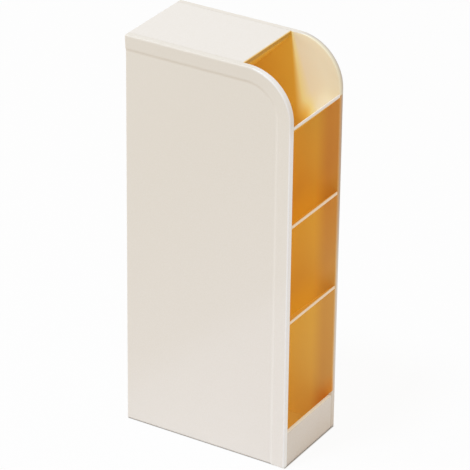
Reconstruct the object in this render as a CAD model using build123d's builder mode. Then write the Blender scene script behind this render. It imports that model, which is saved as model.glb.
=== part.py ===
"""Tall desk pen holder of moulded ivory panels, with open pockets that slope down towards the back.

Millimetres, +Z up. The front faces -Y, and the origin is on the desk below the middle of the holder.
The panels are joined by tongues on their side edges, which sit in grooves in the two side panels.
"""
import os
from math import atan2, cos, radians, sin, tan

from build123d import *

os.makedirs("parts", exist_ok=True)

# Whole holder
height = 215.0
depth = 93.5
width = 50.8

# Side panels: a plain field, and a raised border along the top and the front that leans in towards it
wall = 2.4
border_step = 0.5
border_lean = 0.5
border_width = 7.25
border_ramp = 1.3
corner_radius = 25.0
border_rounding = 0.8
ramp_rounding = 2.0

# Top, back, base and plinth
top_thickness = 2.2
top_setback = 28.0
top_rounding = 0.8
back_thickness = 2.2
base_thickness = 2.2
plinth_thickness = 2.2
plinth_height = 19.6
plinth_rounding = 0.6
edge_softening = 0.5
inner_edge_share = 0.8

# Sloping plates: the front edges of the dividers are evenly spaced between the first and the last
slope = 45.0
plate_thickness = 1.4
plate_edge_share = 0.22
first_edge_drop = 26.6
last_edge_height = 83.2
divider_names = ("upper_divider", "middle_divider", "lower_divider")

# Joints between the panels
tongue_depth_share = 0.45
tongue_thickness_share = 0.5
groove_stop = 3.0
fit_clearance = 0.1
overrun = 5.0

# Anti-slip pads, set into round sockets under the base
foot_diameter = 8.0
foot_drop = 0.4
foot_recess = 0.7
foot_inset = 10.0
foot_clearance = 0.2
foot_rounding_share = 0.4

# Faces that the pieces share
front = -depth / 2
back = depth / 2
half_width = width / 2
lean = atan2(border_lean, border_width)
rim_trim = border_rounding * ((1 + sin(lean)) / cos(lean) - 1)
sharp_rim = -half_width - rim_trim
border_foot = sharp_rim + border_lean
rim_thickness = wall + border_step + border_lean
inner_half = -sharp_rim - rim_thickness
top_under = height - top_thickness
top_front = front + top_setback
back_inner = back - back_thickness
plinth_inner = front + plinth_thickness
underside = foot_drop
base_top = underside + base_thickness
plinth_top = plinth_height

# Sloping plates: where each one would meet the front face
slope_rate = tan(radians(slope))
slope_stretch = 1 / cos(radians(slope))
first_edge = height - first_edge_drop
divider_pitch = (first_edge - last_edge_height) / (len(divider_names) - 1)
divider_edges = [first_edge - place * divider_pitch for place in range(len(divider_names))]
top_slope_edge = top_under + plate_thickness * slope_stretch + top_setback * slope_rate
plate_edges = [top_slope_edge, *divider_edges]

# Centres of the pads
foot_x = inner_half - foot_inset
foot_y = back - foot_inset
foot_places = {
    "foot_pad_front_left": (-foot_x, -foot_y),
    "foot_pad_front_right": (foot_x, -foot_y),
    "foot_pad_rear_left": (-foot_x, foot_y),
    "foot_pad_rear_right": (foot_x, foot_y),
}

# Tongues of the flat panels, as (front, back, low, high), each flush with its panel's inner face
tongue_depth = wall * tongue_depth_share
top_tongue = (
    top_front + groove_stop,
    back - groove_stop,
    top_under,
    top_under + top_thickness * tongue_thickness_share,
)
back_tongue = (
    back_inner,
    back_inner + back_thickness * tongue_thickness_share,
    base_top + groove_stop,
    top_under - groove_stop,
)
base_tongue = (
    plinth_inner + groove_stop,
    back - groove_stop,
    base_top - base_thickness * tongue_thickness_share,
    base_top,
)
plinth_tongue = (
    plinth_inner - plinth_thickness * tongue_thickness_share,
    plinth_inner,
    underside + groove_stop,
    plinth_top - groove_stop,
)


def side_rectangle(y_low, y_high, z_low, z_high, gap=0, mode=Mode.ADD):
    """Rectangle in a sketch on the side plane, grown by a gap on all four sides."""
    with Locations((y_low - gap, z_low - gap)):
        Rectangle(y_high - y_low + gap + gap, z_high - z_low + gap + gap, align=Align.MIN, mode=mode)


def panel_outline(sketch, inset, run_out):
    """Outline of a side panel, drawn in at the top and the front, and run out at the back and below."""
    side_rectangle(front + inset, back + run_out, underside - run_out, height - inset)
    upper_front_corner = sketch.vertices().group_by(Axis.X)[0].sort_by(Axis.Y)[-1]
    fillet(upper_front_corner, corner_radius - inset)


def top_section(sketch):
    """Section of the top panel, rounded along its upper front and back edges."""
    side_rectangle(top_front, back, top_under, height)
    fillet(sketch.vertices().group_by(Axis.Y)[-1].sort_by(Axis.X)[0], top_rounding)
    fillet(sketch.vertices().group_by(Axis.Y)[-1].sort_by(Axis.X)[-1], edge_softening)


def plate_section(edge_height, front_margin, inner_margin, gap=0):
    """Slanted strip that starts at the front face and is trimmed to the space inside the holder."""
    upper = edge_height + gap * slope_stretch
    lower = edge_height - (plate_thickness + gap) * slope_stretch
    fall = depth * slope_rate
    Polygon((front, upper), (front, lower), (back, lower - fall), (back, upper - fall), align=None)
    side_rectangle(
        front + front_margin,
        back_inner - inner_margin,
        base_top + inner_margin,
        top_under - inner_margin,
        gap,
        Mode.INTERSECT,
    )


def keep(piece, label):
    """Name a finished piece and write it to its own file."""
    piece.part.label = label
    export_step(piece.part, f"parts/{label}.step")


# Left side panel: one moulding, grooved inside for the tongues of every other panel
with BuildPart() as left_side_panel:
    with BuildSketch(Plane.YZ.offset(sharp_rim)) as outline:
        panel_outline(outline, 0, 0)
    extrude(amount=rim_thickness)

    # Border that leans in from its rim, then slopes down to the field
    with BuildSketch(Plane.YZ.offset(sharp_rim)) as rim:
        panel_outline(rim, 0, overrun)
    with BuildSketch(Plane.YZ.offset(border_foot)) as border:
        panel_outline(border, border_width, overrun)
    loft(ruled=True, mode=Mode.SUBTRACT)
    with BuildSketch(Plane.YZ.offset(border_foot)) as ramp:
        panel_outline(ramp, border_width, overrun)
    with BuildSketch(Plane.YZ.offset(border_foot + border_step)) as field:
        panel_outline(field, border_width + border_ramp, overrun)
    loft(ruled=True, mode=Mode.SUBTRACT)

    # Rounded slope and rim, then softened edges along the back and below
    _, _, ramp_edges, _, field_edges, *_ = left_side_panel.edges().group_by(Axis.X)
    plain_edges = [field_edges.sort_by(Axis.Y)[-1], field_edges.sort_by(Axis.Z)[0]]
    fillet([*ramp_edges, *(edge for edge in field_edges if edge not in plain_edges)], ramp_rounding)
    fillet(left_side_panel.edges().group_by(Axis.X)[0], border_rounding)
    field_rim = left_side_panel.faces().filter_by(Axis.X).sort_by(Axis.X)[0].edges()
    fillet([field_rim.sort_by(Axis.Y)[-1], field_rim.sort_by(Axis.Z)[0]], edge_softening)

    # Softened inner edge all round, filled up again along the top panel
    fillet(left_side_panel.edges().group_by(Axis.X)[-1], edge_softening * inner_edge_share)
    with BuildSketch(Plane.YZ.offset(-inner_half)) as seam:
        top_section(seam)
    extrude(amount=-edge_softening)

    # Grooves
    with BuildSketch(Plane.YZ.offset(-inner_half)):
        for tongue in (top_tongue, back_tongue, base_tongue, plinth_tongue):
            side_rectangle(*tongue, fit_clearance)
    extrude(amount=-tongue_depth - fit_clearance, mode=Mode.SUBTRACT)
    for edge_height in plate_edges:
        with BuildSketch(Plane.YZ.offset(-inner_half)):
            plate_section(edge_height, groove_stop, groove_stop, fit_clearance)
        extrude(amount=-tongue_depth - fit_clearance, mode=Mode.SUBTRACT)
keep(left_side_panel, "left_side_panel")

# Right side panel: the mirror image of the left one
with BuildPart() as right_side_panel:
    mirror(left_side_panel.part, about=Plane.YZ)
keep(right_side_panel, "right_side_panel")

# Top panel: flat, with a rounded front edge above the upper pocket
with BuildPart() as top_panel:
    with BuildSketch(Plane.YZ) as section:
        top_section(section)
    extrude(amount=inner_half - fit_clearance, both=True)
    with BuildSketch(Plane.YZ):
        side_rectangle(*top_tongue)
    extrude(amount=inner_half + tongue_depth, both=True)
keep(top_panel, "top_panel")

# Back panel: stands on the base, below the top
with BuildPart() as back_panel:
    with BuildSketch(Plane.YZ):
        side_rectangle(back_inner, back, base_top + fit_clearance, top_under - fit_clearance)
    extrude(amount=inner_half - fit_clearance, both=True)
    with BuildSketch(Plane.YZ):
        side_rectangle(*back_tongue)
    extrude(amount=inner_half + tongue_depth, both=True)
keep(back_panel, "back_panel")

# Base panel: from the plinth to the back, with a round socket for each pad
with BuildPart() as base_panel:
    with BuildSketch(Plane.YZ):
        side_rectangle(plinth_inner + fit_clearance, back, underside, base_top)
    extrude(amount=inner_half - fit_clearance, both=True)
    with BuildSketch(Plane.YZ):
        side_rectangle(*base_tongue)
    extrude(amount=inner_half + tongue_depth, both=True)
    with BuildSketch(Plane.XY.offset(underside)):
        with Locations(*foot_places.values()):
            Circle(foot_diameter / 2 + foot_clearance)
    extrude(amount=foot_recess, mode=Mode.SUBTRACT)
keep(base_panel, "base_panel")

# Front plinth: low wall across the bottom of the front, flush with the edges of the side panels
with BuildPart() as front_plinth:
    with BuildSketch(Plane.YZ):
        side_rectangle(front, plinth_inner, underside, plinth_top)
    extrude(amount=inner_half - fit_clearance, both=True)
    fillet(front_plinth.edges().filter_by(Axis.X).group_by(Axis.Z)[-1], plinth_rounding)
    front_rim = front_plinth.edges().group_by(Axis.Y)[0]
    fillet([*front_rim.filter_by(Axis.Z), front_rim.sort_by(Axis.Z)[0]], edge_softening)
    with BuildSketch(Plane.YZ):
        side_rectangle(*plinth_tongue)
    extrude(amount=inner_half + tongue_depth, both=True)
keep(front_plinth, "front_plinth")

# Top slope plate: runs down from the front edge of the top panel, as the back wall of the upper pocket
with BuildPart() as top_slope_plate:
    with BuildSketch(Plane.YZ):
        plate_section(top_slope_edge, 0, fit_clearance)
    extrude(amount=inner_half - fit_clearance, both=True)
    with BuildSketch(Plane.YZ):
        plate_section(top_slope_edge, groove_stop, groove_stop)
    extrude(amount=inner_half + tongue_depth, both=True)
keep(top_slope_plate, "top_slope_plate")

# Dividers: sloping floors of the pockets, each cut upright and softened at its front edge
for divider_name, edge_height in zip(divider_names, divider_edges):
    with BuildPart() as divider:
        with BuildSketch(Plane.YZ):
            plate_section(edge_height, 0, fit_clearance)
        extrude(amount=inner_half - fit_clearance, both=True)
        front_edges = divider.edges().filter_by(Axis.X).group_by(Axis.Y)[0]
        fillet(front_edges, plate_thickness * plate_edge_share)
        with BuildSketch(Plane.YZ):
            plate_section(edge_height, groove_stop, groove_stop)
        extrude(amount=inner_half + tongue_depth, both=True)
    keep(divider, divider_name)

# Anti-slip pads: soft discs in the sockets of the base, a little proud of it
for foot_name, foot_place in foot_places.items():
    with BuildPart() as foot_pad:
        with BuildSketch():
            with Locations(foot_place):
                Circle(foot_diameter / 2)
        extrude(amount=foot_drop + foot_recess)
        fillet(foot_pad.edges().group_by(Axis.Z)[0], foot_drop * foot_rounding_share)
    keep(foot_pad, foot_name)
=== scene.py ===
"""Looks of a tall ivory pen holder: moulded panels, sloping pockets and soft feet, in a plain studio."""
from math import cos, radians, sin

import bpy
from mathutils import Matrix, Vector


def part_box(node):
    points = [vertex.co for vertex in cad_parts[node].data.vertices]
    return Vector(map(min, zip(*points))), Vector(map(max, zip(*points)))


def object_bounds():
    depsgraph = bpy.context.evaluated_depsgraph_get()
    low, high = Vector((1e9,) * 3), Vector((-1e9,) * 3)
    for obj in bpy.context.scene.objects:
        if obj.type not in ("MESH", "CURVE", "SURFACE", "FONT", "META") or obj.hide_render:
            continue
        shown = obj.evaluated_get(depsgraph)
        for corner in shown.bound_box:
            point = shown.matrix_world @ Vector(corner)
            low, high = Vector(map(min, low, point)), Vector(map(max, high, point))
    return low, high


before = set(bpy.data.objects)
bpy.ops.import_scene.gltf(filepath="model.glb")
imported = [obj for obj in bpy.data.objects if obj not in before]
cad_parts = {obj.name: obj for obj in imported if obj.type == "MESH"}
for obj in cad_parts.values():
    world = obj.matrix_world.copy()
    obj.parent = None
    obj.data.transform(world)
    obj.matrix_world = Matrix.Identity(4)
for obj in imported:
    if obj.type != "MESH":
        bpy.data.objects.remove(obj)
cad_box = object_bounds()

# Side panels: two mirror-image injection mouldings in satin ivory plastic, with a raised border
# along the top and the front. The thin walls let light through, so their inner faces look amber,
# and cream where daylight falls into the upper pocket: both are painted light in the colour of
# the inner faces. Grooves in them hold all the other panels.
millimetre = 0.001
panel_low, panel_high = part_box("right_side_panel")
inner_half = panel_low.x
front = panel_low.y
foot = panel_low.z
height = panel_high.z
back_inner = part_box("back_panel")[0].y
base_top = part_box("base_panel")[1].z
top_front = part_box("top_panel")[0].y
plinth_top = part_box("front_plinth")[1].z
plinth_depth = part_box("front_plinth")[1].y - front
upper_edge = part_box("upper_divider")[1].z
middle_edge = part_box("middle_divider")[1].z
lower_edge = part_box("lower_divider")[1].z
corner_radius = 25.0 * millimetre
noise_middle = 0.5


def place(tree, kind, feeds, **settings):
    """Add one shader node to a tree, set its properties, and feed its sockets with values or links."""
    made = tree.nodes.new("ShaderNode" + kind)
    for name, value in settings.items():
        setattr(made, name, value)
    for socket, source in feeds.items():
        if isinstance(source, bpy.types.NodeSocket):
            tree.links.new(source, made.inputs[socket])
        else:
            made.inputs[socket].default_value = source
    return made


def reckon(tree, operation, first, second=0.0):
    """The sum, difference, product or other reckoning of two numbers."""
    return place(tree, "Math", {0: first, 1: second}, operation=operation).outputs[0]


def product(tree, *numbers):
    """All the numbers multiplied together."""
    total = numbers[0]
    for number in numbers[1:]:
        total = reckon(tree, "MULTIPLY", total, number)
    return total


def rise(tree, value, start, end, style="SMOOTHSTEP"):
    """0 below start, 1 above end, and an even passage between them."""
    feeds = {"Value": value, "From Min": start, "From Max": end}
    return place(tree, "MapRange", feeds, interpolation_type=style).outputs[0]


def fall(tree, value, start, end, style="SMOOTHSTEP"):
    """1 below start, 0 above end, and an even passage between them."""
    return reckon(tree, "SUBTRACT", 1.0, rise(tree, value, start, end, style))


def grain(tree, where, scale, detail):
    """An even noise between 0 and 1, with so many swells to the metre."""
    feeds = {"Vector": where, "Scale": scale, "Detail": detail}
    return place(tree, "TexNoise", feeds).outputs["Fac"]


def swing(tree, noise, depth):
    """A noise between 0 and 1 as a swing about 0, as deep as asked for."""
    return product(tree, reckon(tree, "SUBTRACT", noise, noise_middle), depth)


def blend(tree, share, first, second):
    """The first colour where the share is 0, and the second where it is 1."""
    return place(tree, "Mix", {0: share, 6: first, 7: second}, data_type="RGBA").outputs[2]


def new_group(name, inputs, outputs):
    """An empty shader node group with named sockets, and its input and output nodes."""
    group = bpy.data.node_groups.new(name, "ShaderNodeTree")
    for socket, kind in inputs.items():
        group.interface.new_socket(name=socket, in_out="INPUT", socket_type="NodeSocket" + kind)
    for socket, kind in outputs.items():
        group.interface.new_socket(name=socket, in_out="OUTPUT", socket_type="NodeSocket" + kind)
    return group, group.nodes.new("NodeGroupInput").outputs, group.nodes.new("NodeGroupOutput").inputs


# Skin of every ivory piece: clouds and specks in the tone and orange peel with fine tool marks,
# with painted light in a tone that pales slantwise towards the foot at the front, and painted
# shade along the foot: a dark strip at the bottom edge and a darkening towards the bottom.
cloud_scale = 16.0
cloud_detail = 2.0
cloud_depth = 0.10
speck_scale = 1300.0
speck_detail = 0.0
speck_depth = 0.40
peel_scale = 240.0
peel_detail = 1.0
mark_scale = 2600.0
mark_detail = 2.0
mark_share = 0.25
# Painted light: the tone pales slantwise towards the foot at the front, as floor light would make it
even_tone = 0.42
pale_slant = 0.86
pale_from = 220.0 * millimetre
pale_to = -60.0 * millimetre
foot_pale_from = 75.0 * millimetre
foot_pale_to = 45.0 * millimetre
foot_pale_share = 0.25
# Painted contact shade: a dark strip along the bottom edge, where the holder stands on the floor
contact_shade_height = 1.4 * millimetre

skin, given, result = new_group(
    "skin_and_painted_shading",
    {"Position": "Vector", "Sheen": "Float", "Sheen Spread": "Float", "Paling": "Float",
     "Right Paling": "Float", "Contact Shade": "Float", "Foot Shade": "Float"},
    {"Tone": "Float", "Height": "Float", "Roughness": "Float", "Painted Shade": "Float"},
)
position = given["Position"]
axes = place(skin, "SeparateXYZ", {0: position}).outputs
clouds = grain(skin, position, cloud_scale, cloud_detail)
specks = grain(skin, position, speck_scale, speck_detail)
peel = grain(skin, position, peel_scale, peel_detail)
marks = grain(skin, position, mark_scale, mark_detail)

slant = reckon(skin, "ADD", axes["Z"], product(skin, axes["Y"], pale_slant))
paled = product(skin, fall(skin, slant, pale_to, pale_from), 1.0 - foot_pale_share)
foot_paled = product(skin, fall(skin, slant, foot_pale_to, foot_pale_from), foot_pale_share)
paling = reckon(skin, "SUBTRACT", reckon(skin, "ADD", paled, foot_paled), even_tone)
tone = reckon(skin, "ADD", product(skin, paling, given["Paling"]), even_tone)
# Painted light: where asked, as on the plinth, the tone pales towards the right end
across = reckon(skin, "DIVIDE", axes["X"], inner_half)
tone = reckon(skin, "ADD", tone, product(skin, across, given["Right Paling"]))
tone = reckon(skin, "ADD", tone, swing(skin, clouds, cloud_depth))
tone = reckon(skin, "ADD", tone, swing(skin, specks, speck_depth))
relief_height = reckon(skin, "ADD", peel, product(skin, marks, mark_share))
dullness = reckon(skin, "ADD", given["Sheen"], product(skin, given["Sheen Spread"], clouds))
# Painted shade along the foot: the dark strip, and where asked a darkening towards the bottom
contact_shade = product(skin, fall(skin, axes["Z"], foot, foot + contact_shade_height), given["Contact Shade"])
foot_shade = product(skin, fall(skin, axes["Z"], foot, plinth_top, "LINEAR"), given["Foot Shade"])
skin.links.new(tone, result["Tone"])
skin.links.new(relief_height, result["Height"])
skin.links.new(dullness, result["Roughness"])
skin.links.new(reckon(skin, "MAXIMUM", contact_shade, foot_shade), result["Painted Shade"])

# Pocket light, painted in the colour: which faces look into the pockets, the amber that light
# through the thin walls and its bounces give them, the daylight in the upper pocket, the pale
# rims, the shade on the outer edge of the right rim and the glow in the joints.
pocket, given, result = new_group(
    "pocket_painted_light",
    {"Position": "Vector", "Lip Start": "Float", "Lip End": "Float", "Rim Glow": "Float",
     "Border": "Float", "Daylight": "Float", "Edge Shade": "Float", "Outer Rim Shade": "Float",
     "Rim Light": "Color", "Rim Foot": "Float", "Rim Start": "Float", "Rim End": "Float"},
    {"Inside": "Float", "Tint": "Color", "Glow": "Color", "Rim": "Float", "Outer Rim Shade": "Float"},
)
axes = place(pocket, "SeparateXYZ", {0: given["Position"]}).outputs
depth = reckon(pocket, "SUBTRACT", axes["Y"], front)
slope_level = reckon(pocket, "ADD", axes["Z"], depth)
beside = reckon(pocket, "SUBTRACT", reckon(pocket, "ABSOLUTE", axes["X"]), inner_half)
aside = reckon(pocket, "MAXIMUM", reckon(pocket, "SUBTRACT", corner_radius, depth), 0.0)
above = reckon(pocket, "MAXIMUM", reckon(pocket, "SUBTRACT", axes["Z"], height - corner_radius), 0.0)
reach = reckon(pocket, "ADD", product(pocket, aside, aside), product(pocket, above, above))
from_rim = reckon(pocket, "SUBTRACT", corner_radius, reckon(pocket, "SQRT", reach))
behind_top_edge = reckon(pocket, "SUBTRACT", axes["Y"], top_front)
raised = rise(pocket, axes["Z"], lower_edge, middle_edge)

# The painted amber of the inner faces reaches out over the right rim, as the pocket's glow seen
# in its edge, and a little way onto the top behind its front edge. The joint of the side panels
# with the plinth stays ivory.
edge_fade = 0.3 * millimetre
mouth_fade = 12.0 * millimetre
joint_clear = 2.5 * millimetre
joint_fade = 0.5 * millimetre
rim_glow_near = 1.0 * millimetre
rim_glow_far = 2.5 * millimetre
high_reach = 0.75
top_skin_low = 0.45 * millimetre
top_skin_high = 0.15 * millimetre
edge_bleed = 1.0 * millimetre

before_top = fall(pocket, depth, corner_radius - mouth_fade, corner_radius)
joint_end = plinth_top + joint_clear
past_joint = rise(pocket, slope_level, joint_end - joint_fade, joint_end)
stretched = reckon(pocket, "ADD", product(pocket, raised, high_reach), 1.0)
at_rim = fall(pocket, from_rim, rim_glow_near, rim_glow_far)
rim_glow = product(pocket, given["Rim Glow"], stretched, at_rim, before_top, past_joint)
rim_reach = reckon(pocket, "ADD", rim_glow, edge_fade)
behind_plinth = rise(pocket, depth, plinth_depth - edge_fade, plinth_depth)
below_top = fall(pocket, axes["Z"], height - top_skin_low, height - top_skin_high)
bleed = product(pocket, fall(pocket, behind_top_edge, 0.0, edge_bleed), given["Edge Shade"])
inside = product(
    pocket,
    fall(pocket, beside, 0.0, rim_reach),
    rise(pocket, depth, given["Lip Start"], given["Lip End"]),
    reckon(pocket, "MAXIMUM", past_joint, behind_plinth),
    fall(pocket, axes["Y"], back_inner, back_inner + edge_fade),
    rise(pocket, axes["Z"], base_top - edge_fade, base_top),
    reckon(pocket, "MAXIMUM", below_top, bleed),
)
pocket.links.new(inside, result["Inside"])

# Painted light and shade in the walls' colour: amber where light through the ivory walls and
# its bounces would colour them, paler towards the foot and deeper along the raised border, and
# painted shade near the plinth, in the corners above the plates and under the front edge of the top
amber_mouth = (0.905, 0.578, 0.098, 1.0)
amber_high = (0.820, 0.535, 0.115, 1.0)
amber = (0.920, 0.600, 0.115, 1.0)
amber_low = (0.920, 0.660, 0.185, 1.0)
amber_border = (0.720, 0.370, 0.095, 1.0)
amber_border_low = (0.760, 0.470, 0.160, 1.0)
amber_deep = (0.580, 0.255, 0.010, 1.0)
amber_edge = (0.580, 0.275, 0.008, 1.0)
amber_foot = (0.800, 0.300, 0.020, 1.0)
mouth_start = 1.0 * millimetre
border_start = 5.0 * millimetre
border_end = 13.5 * millimetre
foot_warmth = 0.75
foot_warmth_least = 0.08
foot_warmth_near = 2.0 * millimetre
foot_warmth_far = 14.0 * millimetre
foot_warmth_start = 20.0 * millimetre
foot_warmth_end = 36.0 * millimetre
corner_deepening = 0.35
corner_near = 3.0 * millimetre
corner_far = 14.0 * millimetre
edge_shade_near = 1.5 * millimetre
edge_shade_far = 4.5 * millimetre
edge_shade_low = 3.2 * millimetre
edge_shade_high = 1.2 * millimetre
edge_shade_least = 0.30

open_wall = blend(pocket, rise(pocket, axes["Z"], plinth_top, middle_edge), amber_low, amber)
open_wall = blend(pocket, rise(pocket, axes["Z"], middle_edge, upper_edge), open_wall, amber_high)
in_mouth = rise(pocket, slope_level, upper_edge - mouth_start, upper_edge - edge_fade)
open_wall = blend(pocket, in_mouth, open_wall, amber_mouth)
border_wall = blend(pocket, raised, amber_border_low, amber_border)
in_border = product(pocket, fall(pocket, depth, border_start, border_end), given["Border"])
near_front = fall(pocket, depth, foot_warmth_near, foot_warmth_far)
warmth = product(pocket, near_front, 1.0 - foot_warmth_least)
warmth = reckon(pocket, "ADD", warmth, foot_warmth_least)
low_wall = fall(pocket, slope_level, foot_warmth_start, foot_warmth_end)
near_floor = product(pocket, low_wall, warmth, foot_warmth)
wall = blend(pocket, near_floor, blend(pocket, in_border, open_wall, border_wall), amber_foot)
pitch = middle_edge - lower_edge
over_plate = reckon(pocket, "MODULO", reckon(pocket, "SUBTRACT", slope_level, lower_edge), pitch)
above_lower = rise(pocket, slope_level, lower_edge - edge_fade, lower_edge)
low_corner = product(pocket, fall(pocket, over_plate, corner_near, corner_far), above_lower, near_front)
wall = blend(pocket, product(pocket, low_corner, given["Border"], corner_deepening), wall, amber_deep)
darkened = rise(pocket, axes["Z"], height - edge_shade_low, height - edge_shade_high)
darkened = product(pocket, darkened, 1.0 - edge_shade_least)
darkened = reckon(pocket, "ADD", darkened, edge_shade_least)
at_top_edge = fall(pocket, behind_top_edge, edge_shade_near, edge_shade_far)
edge_shade = product(pocket, darkened, at_top_edge, below_top, given["Edge Shade"])
shaded = blend(pocket, edge_shade, wall, amber_edge)

# Painted daylight: it passes the front edge of the top and turns the mouth straw and then cream,
# with a painted shadow edge that blurs downwards, brighter near the upper divider and duller near
# the round corner, and less in the painted shade of the nook behind the upper divider. Below the
# mouth the right rim is deeper amber, which is painted shade.
straw = (0.985, 0.880, 0.425, 1.0)
cream = (0.945, 0.885, 0.680, 1.0)
cream_low = (0.990, 0.945, 0.740, 1.0)
cream_arc = (0.905, 0.825, 0.600, 1.0)
daylight_lean = 0.14
daylight_blur = 0.13
daylight_least_blur = 0.7 * millimetre
daylight_start = -0.4
daylight_end = 1.7
half_lit_share = 0.4
nook_shade = 0.90
nook_low = 2.0 * millimetre
nook_high = 15.0 * millimetre
nook_front = 11.0 * millimetre
nook_back = 20.0 * millimetre
bounce_reach = 13.0 * millimetre
arc_shade_reach = 9.0 * millimetre
rim_step = 0.5 * millimetre
rim_deepening = 0.6

drop = reckon(pocket, "MAXIMUM", reckon(pocket, "SUBTRACT", height, axes["Z"]), 0.0)
shade_line = reckon(pocket, "SUBTRACT", top_front, product(pocket, drop, daylight_lean))
blur = reckon(pocket, "ADD", product(pocket, drop, daylight_blur), daylight_least_blur)
ahead = reckon(pocket, "DIVIDE", reckon(pocket, "SUBTRACT", shade_line, axes["Y"]), blur)
in_nook = product(
    pocket,
    fall(pocket, slope_level, upper_edge + nook_low, upper_edge + nook_high),
    rise(pocket, depth, nook_front, nook_back),
    nook_shade,
)
daylight = product(
    pocket,
    rise(pocket, ahead, daylight_start, daylight_end, "LINEAR"),
    in_mouth,
    reckon(pocket, "SUBTRACT", 1.0, in_nook),
    given["Daylight"],
)
half_lit = blend(pocket, rise(pocket, daylight, 0.0, half_lit_share, "LINEAR"), shaded, straw)
near_divider = fall(pocket, slope_level, upper_edge, upper_edge + bounce_reach)
bright = blend(pocket, near_divider, cream, cream_low)
bright = blend(pocket, fall(pocket, from_rim, 0.0, arc_shade_reach), bright, cream_arc)
lit = blend(pocket, rise(pocket, daylight, half_lit_share, 1.0, "LINEAR"), half_lit, bright)
below_mouth = reckon(pocket, "SUBTRACT", 1.0, in_mouth)
on_rim = rise(pocket, beside, 0.0, rim_step)
rim_depth = product(pocket, raised, at_rim, on_rim, below_mouth, rim_deepening)
lit = blend(pocket, rim_depth, lit, amber_deep)
pocket.links.new(lit, result["Tint"])

# Painted light on the rims along the front edges, which are pale, less so on the round corner,
# and painted shade on the outer edge of the right one above the lower divider
arc_rim_share = 0.55
rim_shade_start = -0.6 * millimetre
rim_shade_end = 2.3 * millimetre

arc_foot = height - corner_radius
below_arc = fall(pocket, axes["Z"], arc_foot - mouth_fade, arc_foot + mouth_fade)
rim_share = reckon(pocket, "MAXIMUM", below_arc, arc_rim_share)
above_foot = rise(pocket, reckon(pocket, "SUBTRACT", axes["Z"], given["Rim Foot"]), 0.0, edge_fade)
edge_band = fall(pocket, from_rim, given["Rim Start"], given["Rim End"])
rim = product(pocket, edge_band, rim_share, before_top, above_foot)
pocket.links.new(rim, result["Rim"])
# Painted shade on the outer edge of the right rim, which turns away from the light
outward = rise(pocket, beside, rim_shade_start, rim_shade_end)
rim_shade_height = reckon(pocket, "MAXIMUM", in_mouth, raised)
outer_rim_shade = product(pocket, outward, edge_band, rim_shade_height, before_top, given["Outer Rim Shade"])
pocket.links.new(outer_rim_shade, result["Outer Rim Shade"])

# Painted glow: the walls glow faintly in their own colour, standing in for light through the
# walls, more above the plates and deep in the pockets, and the clearance in the grooves is filled
# with painted light
plate_light = (1.900, 1.080, 0.100, 1.0)
groove_light = (3.200, 1.500, 0.160, 1.0)
no_glow = (0.0, 0.0, 0.0, 1.0)
gather_near = 2.0 * millimetre
gather_far = 22.0 * millimetre
gather_front = -10.0 * millimetre
gather_back = 24.0 * millimetre
deep_light_share = 0.35
deep_light_start = 17.0 * millimetre
deep_light_end = 27.0 * millimetre
groove_start = 0.02 * millimetre
groove_fade = 0.06 * millimetre
groove_depth = 1.6 * millimetre
groove_clear = 2.5 * millimetre

gathered = product(
    pocket,
    fall(pocket, over_plate, gather_near, gather_far),
    rise(pocket, depth, gather_front, gather_back),
    above_lower,
    below_mouth,
    given["Border"],
)
deep_light = product(
    pocket,
    rise(pocket, depth, deep_light_start, deep_light_end),
    below_mouth,
    given["Border"],
    deep_light_share,
)
in_groove = product(
    pocket,
    rise(pocket, beside, groove_start, groove_start + groove_fade),
    fall(pocket, beside, groove_depth, groove_depth + edge_fade),
    rise(pocket, from_rim, groove_clear - edge_fade, groove_clear),
    fall(pocket, axes["Y"], back_inner - edge_fade, back_inner),
    rise(pocket, axes["Z"], base_top, base_top + edge_fade),
    given["Border"],
)
inside_glow = blend(pocket, reckon(pocket, "MAXIMUM", gathered, deep_light), lit, plate_light)
outside_glow = blend(pocket, rim, no_glow, given["Rim Light"])
glow = blend(pocket, inside, outside_glow, inside_glow)
pocket.links.new(blend(pocket, in_groove, glow, groove_light), result["Glow"])

# Ivory plastic: the skin and the pockets' painted light joined in one satin material, with
# painted shade at the foot and on the outer edge of the right rim, which each piece takes with
# its own lip, rim and shade
ivory_deep = (0.828, 0.760, 0.648, 1.0)
ivory_pale = (0.900, 0.842, 0.768, 1.0)
painted_rim_light = (0.965, 0.950, 0.930, 1.0)
# Colour of the painted shade at the foot and on the outer edge of the right rim
painted_shade_tone = (0.560, 0.510, 0.450, 1.0)
thin_rim = (0.2 * millimetre, 1.1 * millimetre)
sheen = 0.26
sheen_spread = 0.10
relief_strength = 0.15
relief_depth = 0.02 * millimetre
# Strength of the painted glow of the ivory pieces
wall_glow = 0.090


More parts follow.
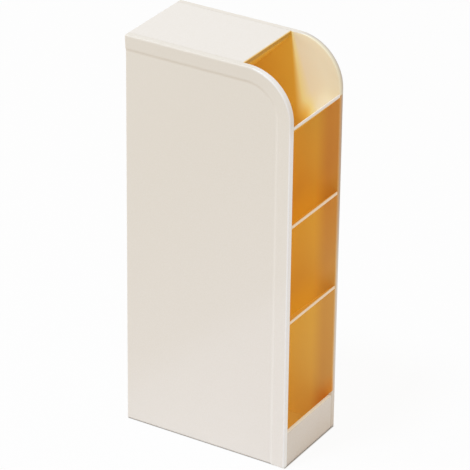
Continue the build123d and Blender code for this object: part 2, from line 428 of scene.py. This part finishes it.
def ivory_plastic(name, lip, tones=(ivory_deep, ivory_pale), paling=0.0, right_paling=0.0,
                  contact_shade=0.0, foot_shade=0.0, rim=thin_rim, rim_paling=0.0, rim_light=no_glow,
                  rim_foot=0.0, rim_glow=0.0, border=0.0, daylight=0.0, edge_shade=0.0, outer_rim_shade=0.0):
    """Satin ivory plastic that takes the pockets' painted light and glow from a lip behind the front
    inwards.
    """
    plastic = bpy.data.materials.new(name)
    plastic.use_nodes = True
    tree = plastic.node_tree
    shader = tree.nodes["Principled BSDF"]
    position = place(tree, "TexCoord", {}).outputs["Object"]
    moulded = place(tree, "Group", {}, node_tree=skin)
    pocket_light = place(tree, "Group", {}, node_tree=pocket)
    skin_values = {"Sheen": sheen, "Sheen Spread": sheen_spread, "Paling": paling,
                   "Right Paling": right_paling, "Contact Shade": contact_shade, "Foot Shade": foot_shade}
    tint_values = {"Lip Start": lip[0], "Lip End": lip[1], "Rim Glow": rim_glow, "Border": border,
                   "Daylight": daylight, "Edge Shade": edge_shade, "Outer Rim Shade": outer_rim_shade,
                   "Rim Light": rim_light, "Rim Foot": rim_foot, "Rim Start": rim[0], "Rim End": rim[1]}
    for group, values in ((moulded, skin_values), (pocket_light, tint_values)):
        tree.links.new(position, group.inputs["Position"])
        for socket, value in values.items():
            group.inputs[socket].default_value = value
    colour = blend(tree, moulded.outputs["Tone"], *tones)
    # Painted light: the rims are paler where asked, as lit roundings
    colour = blend(tree, product(tree, pocket_light.outputs["Rim"], rim_paling), colour, painted_rim_light)
    # Painted shade at the foot and on the outer edge of the right rim
    painted_shade = reckon(tree, "MAXIMUM", moulded.outputs["Painted Shade"], pocket_light.outputs["Outer Rim Shade"])
    colour = blend(tree, painted_shade, colour, painted_shade_tone)
    colour = blend(tree, pocket_light.outputs["Inside"], colour, pocket_light.outputs["Tint"])
    feeds = {"Height": moulded.outputs["Height"], "Strength": relief_strength, "Distance": relief_depth}
    relief = place(tree, "Bump", feeds)
    tree.links.new(colour, shader.inputs["Base Color"])
    tree.links.new(moulded.outputs["Roughness"], shader.inputs["Roughness"])
    tree.links.new(relief.outputs["Normal"], shader.inputs["Normal"])
    tree.links.new(pocket_light.outputs["Glow"], shader.inputs["Emission Color"])
    shader.inputs["Emission Strength"].default_value = wall_glow
    return plastic


def dress(name, material):
    """Give a CAD piece its material."""
    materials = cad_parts[name].data.materials
    materials.clear()
    materials.append(material)


open_lip = (-edge_fade, 0.0)
glow_reach = 1.9 * millimetre
left_contact_shade = 0.15
# The left rim is painted pale with a cool painted glow; the right rim takes the pockets' painted glow
# and painted shade on its outer edge
left_rim_light = (0.850, 1.000, 1.050, 1.0)
panel_finish = {"lip": open_lip, "paling": 1.0, "border": 1.0, "daylight": 1.0}
dress("left_side_panel", ivory_plastic(
    "ivory_left_panel", contact_shade=left_contact_shade, rim_paling=1.0, rim_light=left_rim_light, **panel_finish))
dress("right_side_panel", ivory_plastic(
    "ivory_right_panel", contact_shade=1.0, rim_glow=glow_reach, outer_rim_shade=1.0, **panel_finish))

# Top panel: a flat ivory plate held in the grooves of the side panels. Its rounded front edge
# hangs over the upper pocket, with painted amber light along its upper corner and painted shade
# below.
dress("top_panel", ivory_plastic("ivory_top", open_lip, edge_shade=1.0))

# Back panel and base panel: flat ivory plates in the grooves of the side panels, which close
# the pockets behind and below. Only their inner faces take the pockets' painted light.
shell_plastic = ivory_plastic("ivory_shell", open_lip)
dress("back_panel", shell_plastic)
dress("base_panel", shell_plastic)

# Front plinth: a low ivory wall that closes the bottom pocket, flush with the side panels.
# Its upper lip is painted pale and bright, with a painted glow, the pockets' painted light starts
# at the back edge of the lip, the tone pales towards the right as painted light, and its foot has
# painted shade: a little darker, with a dark strip along the bottom edge.
lip_inset = 0.15 * millimetre
lip_overlap = 0.05 * millimetre
lip_pale_start = 1.6 * millimetre
lip_drop = 0.30 * millimetre
lip_light = (1.650, 2.050, 1.900, 1.0)
plinth_lip = (plinth_depth - lip_inset, plinth_depth + lip_overlap)
plinth_rim = (lip_pale_start, plinth_depth)
plinth_tones = ((0.845, 0.780, 0.692, 1.0), (0.988, 0.945, 0.895, 1.0))
plinth_paling = 0.3
plinth_shade = 0.06
dress("front_plinth", ivory_plastic(
    "ivory_plinth", plinth_lip, plinth_tones, right_paling=plinth_paling, contact_shade=1.0,
    foot_shade=plinth_shade, rim=plinth_rim, rim_paling=1.0, rim_light=lip_light,
    rim_foot=plinth_top - lip_drop))

# Sloping plates: three thin ivory dividers and the plate below the top, pushed into the grooves.
# Light runs along inside the dividers, so their front edges are bright, as painted light with a
# painted glow: white on the upper one, and warm on the others. The upper one takes the painted
# daylight of the upper pocket. The edge of the plate below the top lies in painted shade.
nose = (0.15 * millimetre, 0.5 * millimetre)
pale_tones = ((0.950, 0.890, 0.820, 1.0), (0.970, 0.920, 0.860, 1.0))
pale_light = (1.000, 0.950, 0.850, 1.0)
warm_tones = ((0.960, 0.790, 0.600, 1.0), (0.980, 0.830, 0.660, 1.0))
warm_light = (1.000, 0.600, 0.200, 1.0)
dress("upper_divider", ivory_plastic(
    "ivory_upper_divider", nose, pale_tones, rim_light=pale_light, daylight=1.0))
divider_plastic = ivory_plastic("ivory_divider", nose, warm_tones, rim_light=warm_light)
dress("middle_divider", divider_plastic)
dress("lower_divider", divider_plastic)
dress("top_slope_plate", ivory_plastic("ivory_slope_plate", open_lip, edge_shade=1.0))

# Foot pads: soft grey rubber discs, stuck into the round sockets below the base.
# The rubber is dull and finely speckled, with a pebbled skin.
rubber_light = (0.400, 0.390, 0.365, 1.0)
rubber_dark = (0.320, 0.312, 0.292, 1.0)
rubber_speck_scale = 900.0
rubber_speck_detail = 3.0
rubber_dark_start = 0.4
rubber_dark_end = 0.65
rubber_dull_least = 0.72
rubber_dull_most = 0.92
pebble_scale = 2200.0
pebble_strength = 0.5
pebble_depth = 0.05 * millimetre

foot_rubber = bpy.data.materials.new("foot_rubber")
foot_rubber.use_nodes = True
tree = foot_rubber.node_tree
shader = tree.nodes["Principled BSDF"]
position = place(tree, "TexCoord", {}).outputs["Object"]
pebbles = place(tree, "TexVoronoi", {"Vector": position, "Scale": pebble_scale}).outputs["Distance"]
specks = grain(tree, position, rubber_speck_scale, rubber_speck_detail)
darkened = rise(tree, specks, rubber_dark_start, rubber_dark_end)
feeds = {"Value": specks, "To Min": rubber_dull_least, "To Max": rubber_dull_most}
dullness = place(tree, "MapRange", feeds)
relief = place(tree, "Bump", {"Height": pebbles, "Strength": pebble_strength, "Distance": pebble_depth})
tree.links.new(blend(tree, darkened, rubber_light, rubber_dark), shader.inputs["Base Color"])
tree.links.new(dullness.outputs[0], shader.inputs["Roughness"])
tree.links.new(relief.outputs["Normal"], shader.inputs["Normal"])
for end in ("front", "rear"):
    for hand in ("left", "right"):
        dress(f"foot_pad_{end}_{hand}", foot_rubber)

# Studio: a white paper floor that keeps a faint shadow, with a dark gap below the holder where it
# stands on its pads. Warm light comes from all round, cool daylight from a lamp high on the left
# and a little behind the holder, and a soft fill from the back left.
floor_reach = 4.0
floor_level = -0.1 * millimetre
floor_shown = 0.94
gap_shown = 0.05
gap_fade = 0.4 * millimetre
gap_lit = 1.3 * millimetre
paper_colour = (0.80, 0.78, 0.75, 1.0)
paper_roughness = 0.9
room_colour = (0.62, 0.545, 0.465, 1.0)
white = (1.0, 1.0, 1.0, 1.0)

floor_mesh = bpy.data.meshes.new("floor")
floor_corners = [(-floor_reach, -floor_reach, floor_level), (floor_reach, -floor_reach, floor_level),
                 (floor_reach, floor_reach, floor_level), (-floor_reach, floor_reach, floor_level)]
floor_mesh.from_pydata(floor_corners, [], [(0, 1, 2, 3)])
floor = bpy.data.objects.new("floor", floor_mesh)
bpy.context.scene.collection.objects.link(floor)


def seen_directly(tree):
    """1 for rays that show the background itself: from the camera, in gloss and through glass."""
    path = place(tree, "LightPath", {}).outputs
    seen = reckon(tree, "MAXIMUM", path["Is Camera Ray"], path["Is Glossy Ray"])
    return reckon(tree, "MAXIMUM", seen, path["Is Transmission Ray"])


paper = bpy.data.materials.new("white_paper")
paper.use_nodes = True
tree = paper.node_tree
sheet = tree.nodes["Principled BSDF"]
sheet.inputs["Base Color"].default_value = paper_colour
sheet.inputs["Roughness"].default_value = paper_roughness
sheet.inputs["Specular IOR Level"].default_value = 0.0
backlight = place(tree, "Emission", {"Color": white, "Strength": 1.0})
axes = place(tree, "SeparateXYZ", {0: place(tree, "TexCoord", {}).outputs["Object"]}).outputs
half_width, half_depth = cad_box[1][0], cad_box[1][1]
lit_side = gap_lit - half_width
under_left = rise(tree, axes["X"], lit_side - gap_fade, lit_side + gap_fade)
under_right = fall(tree, axes["X"], half_width - gap_fade, half_width + gap_fade)
from_middle = reckon(tree, "ABSOLUTE", axes["Y"])
under_depth = fall(tree, from_middle, half_depth - gap_fade, half_depth + gap_fade)
in_gap = product(tree, under_left, under_right, under_depth, floor_shown - gap_shown)
shown = product(tree, seen_directly(tree), reckon(tree, "SUBTRACT", floor_shown, in_gap))
mixed = place(tree, "MixShader", {0: shown, 1: sheet.outputs["BSDF"], 2: backlight.outputs["Emission"]})
tree.links.new(mixed.outputs[0], tree.nodes["Material Output"].inputs["Surface"])
floor_mesh.materials.append(paper)

room = bpy.data.worlds.new("room")
room.use_nodes = True
tree = room.node_tree
room_light = blend(tree, seen_directly(tree), room_colour, white)
tree.links.new(room_light, tree.nodes["Background"].inputs["Color"])
bpy.context.scene.world = room

middle = Vector((0.0, 0.0, height / 2))


def hang_lamp(name, direction, away, size, energy, colour):
    """A round soft lamp in a direction from the holder, turned towards its middle."""
    data = bpy.data.lights.new(name, "AREA")
    data.shape = "DISK"
    data.size = size
    data.energy = energy
    data.color = colour
    lamp = bpy.data.objects.new(name, data)
    bpy.context.scene.collection.objects.link(lamp)
    lamp.location = middle + Vector(direction).normalized() * away
    lamp.rotation_mode = "QUATERNION"
    lamp.rotation_quaternion = (middle - lamp.location).to_track_quat("-Z", "Y")


hang_lamp("daylight", direction=(-0.36, daylight_lean, 1.0), away=3.0, size=0.5, energy=39.5,
          colour=(0.74, 0.97, 1.29))
hang_lamp("fill", direction=(-0.55, 0.75, 0.35), away=2.5, size=1.2, energy=10.0,
          colour=(0.90, 0.98, 1.10))

# Camera: at the photograph's viewing angle, above the left front of the holder,
# with a long lens and a slight roll.
azimuth = radians(-59.0)
elevation = radians(27.49)
roll = radians(0.687)
camera_away = 1.6167
camera_sight = 50.0
sensor_width = 36.0
image_width = 470.0
focal_pixels = 3257.0
target = Vector((0.0, -0.00154, 0.10837))
behind = Vector((sin(azimuth) * cos(elevation), -cos(azimuth) * cos(elevation), sin(elevation)))
right = Vector((cos(azimuth), sin(azimuth), 0.0))
up = behind.cross(right)
rolled_right = right * cos(roll) + up * sin(roll)
rolled_up = up * cos(roll) - right * sin(roll)
camera_data = bpy.data.cameras.new("camera")
camera_data.sensor_width = sensor_width
camera_data.lens = sensor_width * focal_pixels / image_width
camera_data.clip_end = camera_sight
camera = bpy.data.objects.new("camera", camera_data)
bpy.context.scene.collection.objects.link(camera)
camera.matrix_world = Matrix((rolled_right, rolled_up, behind)).transposed().to_4x4()
camera.location = target + behind * camera_away
bpy.context.scene.camera = camera
bpy.context.scene.view_settings.view_transform = "Standard"
